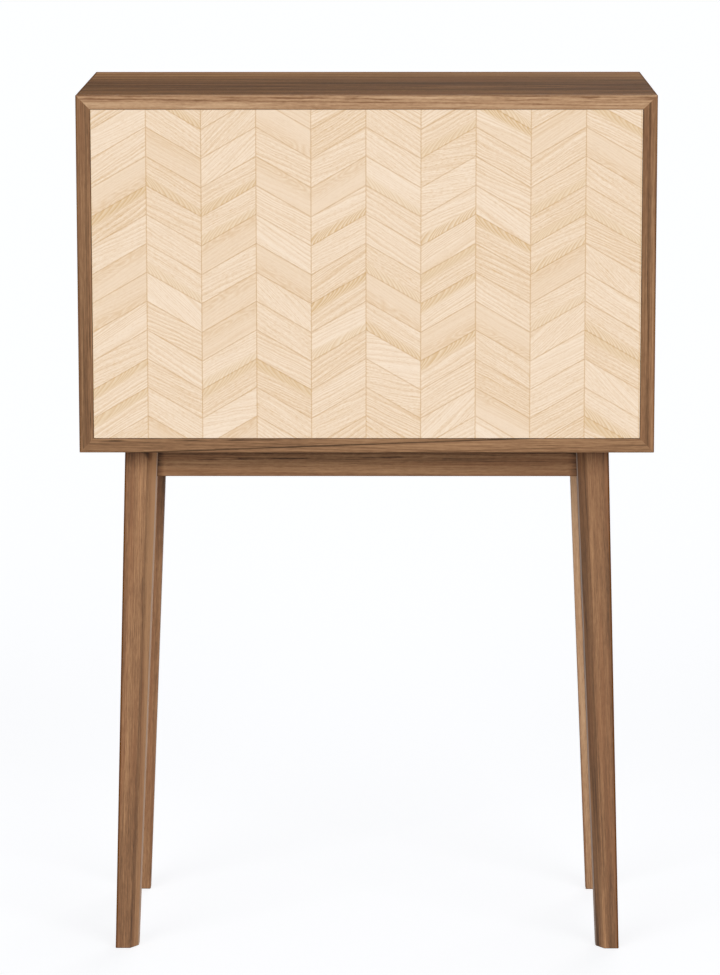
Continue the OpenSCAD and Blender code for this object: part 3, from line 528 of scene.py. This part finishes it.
SCRATCHES_PER_METRE = 2600.0
plating, given, out = new_group(
    "plating", [("Place", "Vector", None), ("Cloud", "Float", 0.006)],
    [("Tone", "Float"), ("Scratch", "Float")])
clouds_per_metre = maths(plating, "DIVIDE", 1.0, given["Cloud"])
for output, per_metre, detail in (("Tone", clouds_per_metre, 3.0),
                                  ("Scratch", SCRATCHES_PER_METRE, 2.0)):
    spots = place(plating, "TexNoise", {"Vector": given["Place"], "Scale": per_metre,
                                        "Detail": detail})
    feed(plating, out[output], spots.outputs["Fac"])


def plated(name, dark, light, roughness):
    """Bare metal with a plated surface: cloudy in tone, with a fine tumbled texture."""
    finish, tree, shader, coordinates = new_finish(name, roughness, shine=0.5, metallic=1.0)
    surface = use_group(tree, plating, Place=coordinates["Object"])
    feed(tree, shader["Base Color"], mixed(tree, surface["Tone"], dark, light))
    rough = between(tree, surface["Scratch"], roughness - 0.1, roughness + 0.12)
    feed(tree, shader["Roughness"], rough)
    raise_grain(tree, shader, surface["Scratch"], depth=0.00002)
    return finish


steel = plated("zinc_plated_steel", paint(164, 164, 166), paint(200, 200, 202), 0.36)
dress(steel, "back_panel_screws")

# Shelf. A walnut-veneered board with a solid strip on its front edge. It lies on four steel
# pins, which plug into rows of holes.
walnut("shelf", WIDE, DEEP, 17.2, depth=0.1)
walnut("shelf_lipping", WIDE, UP, 18.6)
dress(steel, "shelf_pins")

# Legs. Solid walnut, tapered and splayed, with one long chamfer on each. The grain follows the
# leg, and no two legs are from the same place in the board. A lean is the run to the side per
# metre of height, and a foot is how far from the middle that line meets the floor.
LEG_LEAN = 0.0365
OUTER_LEAN = 0.0276
OUTER_FOOT = 0.38225
INNER_LEAN = 0.04539
INNER_FOOT = 0.34765
BRIGHT_WALNUT = (*WALNUT[:2], paint(187, 142, 102))
# The deepest painted shade on the legs and apron lies above this height, right under the case
deep_shade = under_case - 0.0095


def leg(piece, hand, seed, **wood):
    """One leg, on the left where its hand is -1. A front leg's inner edge has a painted highlight.
    """
    inner = ((-hand, 0, -INNER_LEAN), -INNER_FOOT, 0.5)
    walnut(piece, (hand * -LEG_LEAN, 0, 1), WIDE, seed, contrast=0.6, shorten=0.7, packing=1.35,
           shine=0.2, rims=[((hand, 0, OUTER_LEAN), OUTER_FOOT, 1.0)],
           highlight_rims=[inner] if piece.startswith("front") else [], **wood)


# Each leg but the rear right one gets painted shade at its top, where the case's shadow falls; the
# rear left leg's reaches farthest. The front left leg's last streak is painted shade too, a dark
# wedge across its chamfer near the top, under the case.
leg("front_left_leg", -1, 20.0, level=0.1, lengthwise=0.42, palette=BRIGHT_WALNUT,
    streaks=[(0.0145, 0.0095, 0.4, 0.0083, False), (0.0083, 0.0012, -0.15, 0.0077, True),
             (0.003, 0.0012, -0.3, 0.003, True), (-0.016, 0.0012, -0.4, 0.0, True),
             (-0.0269, 0.009, -0.22, 0.0227, False), (0.0436, 0.0095, 0.5, -0.073, False),
             (0.3083, 0.012, -0.55, -0.8, False)],
    tucked=[(UP, under_case, 0.033, 0.31), (UP, deep_shade, 0.0025, 0.2)])
leg("front_right_leg", 1, 23.0, level=-0.05, lengthwise=0.2,
    streaks=[(-0.0145, 0.0095, -0.18, -0.0083, False), (0.002, 0.0085, 0.11, 0.004, False),
             (0.022, 0.0045, -0.16, -0.01, False), (-0.0286, 0.011, 0.3, -0.07, False)],
    tucked=[(UP, under_case, 0.024, 0.18), (UP, deep_shade, 0.0025, 0.2)])
leg("rear_left_leg", -1, 26.0, level=0.08, lengthwise=-0.08,
    tucked=[(UP, under_case, 0.24, 0.7)])
leg("rear_right_leg", 1, 29.0, level=0.06, lengthwise=0.5, palette=PALE_WALNUT,
    streaks=[(-0.0195, 0.004, -0.5, -0.0143, False)])

# Aprons. Four solid walnut rails between the legs, doweled in and braced by beech blocks
# that are screwed to them and up into the case.
under_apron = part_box("front_apron")[0].z
# The front apron's dark upper band and pale lower band are painted shade and light, the case's
# shadow fading down its face, and its darkest tone is there for that shade. More painted shade
# darkens it right under the case and at each end, beside the legs.
walnut("front_apron", WIDE, UP, 31.0, level=0.07, contrast=0.55,
       palette=(paint(60, 42, 29), *OLIVE_WALNUT[1:]), red=0.25,
       streaks=[(0.0215, 0.0155, -0.8, 0.0, False), (0.004, 0.0025, -0.35, 0.01, True),
                (-0.016, 0.011, 0.18, 0.0, False)],
       tucked=[(UP, deep_shade, 0.008, 0.1), ((-1, 0, INNER_LEAN), INNER_FOOT, 0.011, 0.6),
               ((1, 0, INNER_LEAN), INNER_FOOT, 0.013, 0.5)],
       rims=[(DOWNWARD, -under_apron, 0.1)])
walnut("rear_apron", WIDE, UP, 34.0)
walnut("left_apron", DEEP, UP, 37.0)
walnut("right_apron", DEEP, UP, 40.0)
beech("dowel_beech", 5.1, WIDE, UP, "apron_dowels")
beech("block_beech", 6.2, UP, WIDE,
      "front_left_block", "front_right_block", "rear_left_block", "rear_right_block")
dress(steel, "block_screws", "case_screws")

# Flap. A board veneered in white oak with a solid oak lipping round it, lacquered matt. Its
# inner face is the serving surface when the flap is down.
OAK = (paint(224, 190, 144), paint(239, 214, 185), paint(249, 229, 206))
OAK_LINE = paint(208, 163, 98)
BOARD_SEED = 2.2


def close_fibres(tree, board, seed):
    """Oak's fibre lines lie closer than walnut's, and its pores are short."""
    packed = vector_maths(tree, "MULTIPLY", board, (1.2, 1.9, 1.9))
    return use_group(tree, fibres, Vector=packed, Seed=seed)


def oak_colour(tree, ring, fibre, tone, line_share):
    """White oak: a pale ground whose tone is given, with tan ring lines and open pores."""
    value = swung(tree, tone, (fibre["Fine"], 1.9), (fibre["Mottle"], 1.7),
                  (fibre["Broad"], 0.3), (ring["Tone"], 0.3))
    lined = mixed(tree, times(tree, ring["Season"], line_share), toned(tree, value, OAK),
                  OAK_LINE)
    marked = plus(tree, times(tree, fibre["Pores"], 0.12), times(tree, ring["Line"], 0.3))
    return mixed(tree, marked, lined, OAK_LINE)


def raise_oak(tree, shader, fibre):
    """Oak's relief: its fibres stand up and its pores are sunk."""
    raise_grain(tree, shader, minus(tree, fibre["Fine"], fibre["Pores"]), depth=0.00008)


for piece, across in (("flap_core", UP), ("flap_lipping", DEEP)):
    finish, tree, shader, coordinates = new_finish(piece + "_oak", 0.5)
    board = lay_board(tree, coordinates, piece, WIDE, across)
    ring = use_group(tree, rings, Vector=board, Seed=BOARD_SEED, Spacing=0.0032, Side=0.02,
                     Depth=0.06, Taper=0.03, Warp=0.012, Uneven=3.0)
    fibre = close_fibres(tree, board, BOARD_SEED)
    feed(tree, shader["Base Color"], oak_colour(tree, ring, fibre, 0.45, 0.5))
    raise_oak(tree, shader, fibre)
    dress(finish, piece)

# Chevron facing. Ten columns of white oak staves, glued on in pairs that meet at a peak, with
# their face arrises just broken. They are set out from the top left corner, and the last
# column takes up what is left. The photograph gives their pitch, a little under the source's.
COLUMNS = 10
COLUMN_PITCH = 0.08051
STAVE_PITCH = 0.0427
STAVE_SLOPE = radians(30)
STAVE_RISE = COLUMN_PITCH * tan(STAVE_SLOPE)
STAVE_LENGTH = COLUMN_PITCH / cos(STAVE_SLOPE)
STAVE_WIDTH = STAVE_PITCH * cos(STAVE_SLOPE)
FIRST_JOINT = 0.0251
STAVE_GAP = 0.00006
STAVE_ARRIS = 0.00015
STAVES_ABOVE = 2
STAVES_BELOW = 11
BEVEL_FROM_HINGE = 0.01565
CUT_SNAP = 1e-7
FACE_SNAP = 1e-6
facing_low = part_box("chevron_column_1")[0]
facing_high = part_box("chevron_column_10")[1]
facing_t = facing_high.y - facing_low.y
hinge_low, hinge_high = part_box("hinge_pins")
hinge_axis = (hinge_low + hinge_high) / 2
facing_middle = (facing_low + facing_high) / 2
towards_front = facing_middle.y - hinge_axis.y
upwards = sqrt(BEVEL_FROM_HINGE ** 2 - towards_front ** 2)
bevel_way = Vector((0, towards_front, upwards)).normalized()


def trim(mesh, place_on, outwards):
    """Cuts away what lies beyond a plane."""
    bmesh.ops.bisect_plane(mesh, geom=mesh.verts[:] + mesh.edges[:] + mesh.faces[:],
                           dist=CUT_SNAP, plane_co=place_on, plane_no=outwards,
                           clear_outer=True)


def stave_column(number):
    """One column: its staves as sloped faces, which run past the flap and are trimmed to it, then
    given their thickness. Their lower ends are bevelled to swing clear of the case's front."""
    left = facing_low.x + number * COLUMN_PITCH
    right = facing_high.x if number == COLUMNS - 1 else left + COLUMN_PITCH
    width = right - left
    slope = tan(STAVE_SLOPE) * (1 if number % 2 == 0 else -1)
    mesh = bmesh.new()
    first_middle = facing_high.z - FIRST_JOINT - (STAVE_PITCH + width * tan(STAVE_SLOPE)) / 2
    for stave in range(-STAVES_ABOVE, STAVES_BELOW):
        middle = first_middle - stave * STAVE_PITCH
        face = Matrix(((width - STAVE_GAP, 0, 0, (left + right) / 2),
                       (0, 0, 1, facing_low.y),
                       (slope * (width - STAVE_GAP), STAVE_PITCH - STAVE_GAP, 0, middle),
                       (0, 0, 0, 1)))
        bmesh.ops.create_grid(mesh, x_segments=1, y_segments=1, size=0.5, matrix=face)
    trim(mesh, facing_high, UP)
    trim(mesh, facing_low, DOWNWARD)
    grown = bmesh.ops.extrude_face_region(mesh, geom=mesh.faces[:])["geom"]
    bmesh.ops.translate(mesh, vec=(0, facing_t, 0),
                        verts=[v for v in grown if isinstance(v, bmesh.types.BMVert)])
    trim(mesh, hinge_axis + BEVEL_FROM_HINGE * bevel_way, -bevel_way)
    bmesh.ops.holes_fill(mesh, edges=[e for e in mesh.edges if e.is_boundary])
    bmesh.ops.recalc_face_normals(mesh, faces=mesh.faces[:])
    arrises = [e for e in mesh.edges if all(v.co.y < facing_low.y + FACE_SNAP for v in e.verts)]
    bmesh.ops.bevel(mesh, geom=arrises, offset=STAVE_ARRIS, segments=1, profile=0.5,
                    affect="EDGES", clamp_overlap=True, material=-1)
    piece = as_object(mesh, f"stave_column_{number + 1}")
    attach(piece, "flap")
    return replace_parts(piece, f"chevron_column_{number + 1}")


# Each stave is cut from another place, so its tone, figure and grain angle are its own
LUCK_DRAW = 3.0
staves, given, out = new_group(
    "stave_layout", [("Place", "Vector", None)],
    [("Board", "Vector"), ("Luck", "Color"), ("Edge", "Float"), ("Falls", "Float")])
spot = parts_of(staves, given["Place"])
columns = maths(staves, "DIVIDE", minus(staves, spot["X"], facing_low.x), COLUMN_PITCH)
column = maths(staves, "MINIMUM", maths(staves, "FLOOR", columns), COLUMNS - 1.0)
within = minus(staves, columns, column)
falls_right = maths(staves, "MODULO", column, 2.0)
from_peak = maths(staves, "ABSOLUTE", minus(staves, minus(staves, 1.0, falls_right), within))
drop = minus(staves, minus(staves, facing_high.z - FIRST_JOINT, spot["Z"]),
             times(staves, from_peak, STAVE_RISE))
stave = maths(staves, "FLOOR", maths(staves, "DIVIDE", drop, STAVE_PITCH))
below_joint = minus(staves, drop, times(staves, stave, STAVE_PITCH))
stave_across = times(staves, below_joint, cos(STAVE_SLOPE))
stave_board = place(staves, "CombineXYZ", {
    "X": times(staves, within, STAVE_LENGTH), "Y": stave_across,
    "Z": minus(staves, spot["Y"], facing_low.y)})
address = place(staves, "CombineXYZ", {"X": column, "Y": stave, "Z": LUCK_DRAW})
luck = place(staves, "TexWhiteNoise", {"Vector": address.outputs[0]}, noise_dimensions="3D")
to_long_joint = maths(staves, "MINIMUM", stave_across, minus(staves, STAVE_WIDTH, stave_across))
to_end_joint = times(staves, COLUMN_PITCH, maths(
    staves, "MINIMUM", within, maths(staves, "ABSOLUTE", minus(staves, 1.0, within))))
feed(staves, out["Board"], stave_board.outputs[0])
feed(staves, out["Luck"], luck.outputs["Color"])
feed(staves, out["Edge"], maths(staves, "MINIMUM", to_long_joint, to_end_joint))
feed(staves, out["Falls"], minus(staves, times(staves, falls_right, 2.0), 1.0))

# Luck gives each stave a seed, a spare share from 0 to 1, and a toss of 1 or -1
SEED_SPREAD = 60.0
SPARE_SPREAD = 37.0
stave_finish, tree, shader, coordinates = new_finish("oak_staves", 0.5)
layout = use_group(tree, staves, Place=coordinates["Object"])
luck = place(tree, "SeparateColor", {0: layout["Luck"]}).outputs
stave_seed = times(tree, luck["Red"], SEED_SPREAD)
spare = maths(tree, "FRACT", times(tree, luck["Red"], SPARE_SPREAD))
toss = maths(tree, "SIGN", minus(tree, luck["Blue"], 0.5))

# Most staves are straight in grain, and a little wavy. In a few it crosses at a slant.
CROSSED_ABOVE = 0.92
CROSSING_DEG = 14
STRAY_DEG = 3
STAVE_MIDDLE = (0.046, 0.019, 0)
SWAY = 0.0065
crosses = maths(tree, "GREATER_THAN", luck["Green"], CROSSED_ABOVE)
slant = plus(tree, times(tree, crosses, radians(CROSSING_DEG)),
             times(tree, spare, radians(STRAY_DEG)))
turned = place(tree, "VectorRotate", {
    "Vector": layout["Board"], "Angle": times(tree, toss, slant),
    "Center": STAVE_MIDDLE}, rotation_type="Z_AXIS").outputs[0]
swell = figure(tree, turned, stave_seed, 0.05, 0.016, detail=1.0)
sway = place(tree, "CombineXYZ", {"Y": times(tree, minus(tree, swell, 0.5), SWAY)})
wavy = vector_maths(tree, "ADD", turned, sway.outputs[0])
ring = use_group(
    tree, rings, Vector=wavy, Seed=stave_seed, Spacing=between(tree, spare, 0.0034, 0.0062),
    Side=between(tree, spare, 0.05, 0.12), Depth=0.03,
    Taper=between(tree, luck["Blue"], -0.08, 0.08), Warp=0.0, Sharpness=2.6, Uneven=4.5)
fibre = close_fibres(tree, wavy, stave_seed)
tone = between(tree, luck["Red"], 0.6, 1.03)
lines = between(tree, luck["Blue"], 0.08, 0.3)
softer = minus(tree, 1.0, times(tree, crosses, 0.6))
plain = oak_colour(tree, ring, fibre, tone, times(tree, lines, softer))

# In some staves the rings run out at one long edge, as a fringe of short curved strokes
PALE_FRINGE = paint(244, 223, 196)
TAN_FRINGE = paint(233, 207, 171)
FRINGED_BELOW = 0.27
FRINGE_ENDS = 0.0155
FRINGE_FULL = 0.0105
here = parts_of(tree, layout["Board"])
from_middle = times(tree, toss, minus(tree, here["Y"], STAVE_WIDTH / 2))
from_edge = plus(tree, STAVE_WIDTH / 2, from_middle)
fringe_board = place(tree, "CombineXYZ", {"X": here["X"], "Y": from_edge, "Z": 0.0}).outputs[0]
lean = times(tree, times(tree, layout["Falls"], toss), between(tree, luck["Blue"], -0.5, -0.3))
strokes = use_group(tree, rings, Vector=fringe_board, Seed=stave_seed, Spacing=0.0037, Side=0.0,
                    Depth=0.006, Taper=lean, Warp=0.003, Sharpness=1.4, Uneven=3.5)
slanted = plus(tree, from_edge, times(tree, here["X"], 0.04))
band = ranged(tree, slanted, FRINGE_ENDS, FRINGE_FULL)
has_fringe = maths(tree, "LESS_THAN", luck["Green"], FRINGED_BELOW)
stroke_depth = plus(tree, 0.35, times(tree, spare, 0.3))
stroke_share = times(tree, times(tree, strokes["Season"], stroke_depth),
                     times(tree, band, has_fringe))
fringe_ground = mixed(tree, luck["Blue"], PALE_FRINGE, TAN_FRINGE)
calm = mixed(tree, times(tree, band, times(tree, has_fringe, 0.8)), plain, fringe_ground)
fringed = mixed(tree, stroke_share, calm, OAK_LINE)

# In others they run out flat, as faint swirls
SWIRLED_ROUND = 0.34
SWIRLED_WITHIN = 0.07
SWIRL_LINES = 7.0
hills = figure(tree, fringe_board, stave_seed, 0.045, 0.011, detail=0.0)
contour = maths(tree, "PINGPONG", times(tree, hills, SWIRL_LINES), 0.5)
flat_band = ranged(tree, from_edge, 0.02, 0.008)
has_swirl = maths(tree, "COMPARE", luck["Green"], SWIRLED_ROUND, SWIRLED_WITHIN)
swirl_share = times(tree, times(tree, contour, 0.6), times(tree, flat_band, has_swirl))
level_ground = mixed(tree, times(tree, has_swirl, 0.55), fringed, OAK[1])
figured = mixed(tree, swirl_share, level_ground, OAK_LINE)

# The joints are fine tan lines, a little ragged
JOINT_FADES = 0.0013
JOINT_LINE = 0.0003
JOINT_STRENGTH = 0.42
RAGGED = 0.0012
nicks = place(tree, "TexNoise", {"Vector": coordinates["Object"], "Scale": 240.0})
to_joint = swung(tree, layout["Edge"], (nicks.outputs["Fac"], RAGGED))
joint = ranged(tree, to_joint, JOINT_FADES, JOINT_LINE, high=JOINT_STRENGTH)
feed(tree, shader["Base Color"], mixed(tree, joint, figured, OAK_LINE))
raise_oak(tree, shader, fibre)
for number in range(COLUMNS):
    stave_column(number).data.materials.append(stave_finish)

# Hinges. Die-cast bases let into the case floor carry steel pins, on which the gooseneck
# arms of the flap turn.
casting = plated("nickel_plated_casting", paint(158, 159, 163), paint(190, 191, 194), 0.3)
dress(casting, "left_hinge_base", "right_hinge_base")
dress(steel, "hinge_base_screws", "hinge_pins", "left_hinge_arm", "right_hinge_arm")

# Stays. Slotted steel arms turn on cast brackets on the flap and slide over studs on the
# case sides.
dress(casting, "left_stay_stud", "right_stay_stud", "left_stay_bracket", "right_stay_bracket")
dress(steel, "stud_screws", "left_stay_arm", "right_stay_arm", "flap_screws")

# Push latch. A moulded nylon body under the top panel, with a sprung plunger that meets
# a small cast strike on the flap.
NYLON_DARK = paint(34, 34, 36)
NYLON_LIGHT = paint(52, 52, 54)
nylon, tree, shader, coordinates = new_finish("black_nylon", 0.5)
surface = use_group(tree, plating, Place=coordinates["Object"], Cloud=0.004)
feed(tree, shader["Base Color"], mixed(tree, surface["Tone"], NYLON_DARK, NYLON_LIGHT))
raise_grain(tree, shader, surface["Scratch"], depth=0.00003)
dress(nylon, "latch_body", "latch_plunger")
dress(steel, "latch_screws")
dress(casting, "latch_strike")
